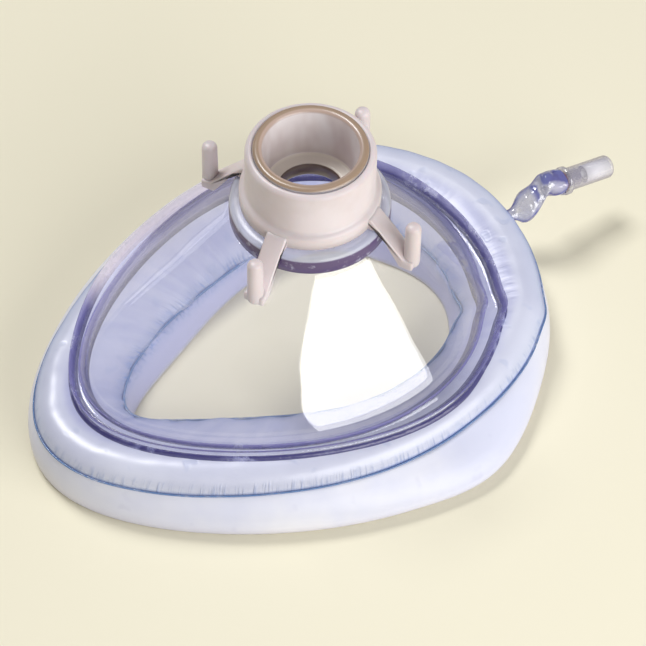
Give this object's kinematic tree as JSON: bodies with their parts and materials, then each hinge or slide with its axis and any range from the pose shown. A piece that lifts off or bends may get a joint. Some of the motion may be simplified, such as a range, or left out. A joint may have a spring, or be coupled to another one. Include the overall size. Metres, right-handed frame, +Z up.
{
  "type": "anaesthesia face mask",
  "caption": "Clear cone face mask with an inflatable cushion rim, 22 mm female port, turning hook ring with upright pins, and an inflation tail with a spring check valve.",
  "frame": {"origin": "on the port's axis, at the plane the cushion rests on when the mask lies face down", "axes": "+Z up the port's axis; +Y towards the nose end, -Y towards the chin end where the inflation tail leaves"},
  "size_m": [0.114, 0.1645, 0.073],
  "materials": {
    "membrane": "satin",
    "soft_clear": "gloss",
    "bond": "gloss",
    "rigid_clear": "gloss",
    "ring_plastic": "satin",
    "valve_plastic": "gloss",
    "stem_plastic": "satin",
    "seal_rubber": "matte",
    "spring_steel": "satin",
    "gasket_rubber": "matte"
  },
  "bodies": {
    "mask": {"cushion_lower": "membrane", "cushion_upper": "soft_clear", "bond_ring": "bond", "dome_shell": "rigid_clear", "inflation_stub": "soft_clear"},
    "harness_ring": {"hook_ring": "ring_plastic"},
    "valve": {"inflation_tail": "soft_clear", "valve_housing": "valve_plastic", "valve_retainer": "rigid_clear", "valve_gasket": "gasket_rubber", "valve_spring": "spring_steel"},
    "plunger": {"valve_stem": "stem_plastic", "valve_seal": "seal_rubber"}
  },
  "joints": [
    {"name": "harness_ring_turn", "type": "hinge", "parent": "mask", "child": "harness_ring", "pos_m": [0, 0, 0.0645], "axis": [0, 0, 1], "continuous": true},
    {"name": "tail_flex", "type": "hinge", "parent": "mask", "child": "valve", "pos_m": [0, -0.06105, 0.0134], "axis": [-1, 0, 0], "range_deg": [-30, 12], "stiffness_Nm_per_rad": 0.01, "deforming": ["inflation_tail"]},
    {"name": "plunger_press", "type": "slide", "parent": "valve", "child": "plunger", "axis": [0, 0.9848, 0.1736], "range_m": [0, 0.0012], "stiffness_N_per_m": 300, "springref_m": -0.001, "deforming": ["valve_spring"]}
  ]
}
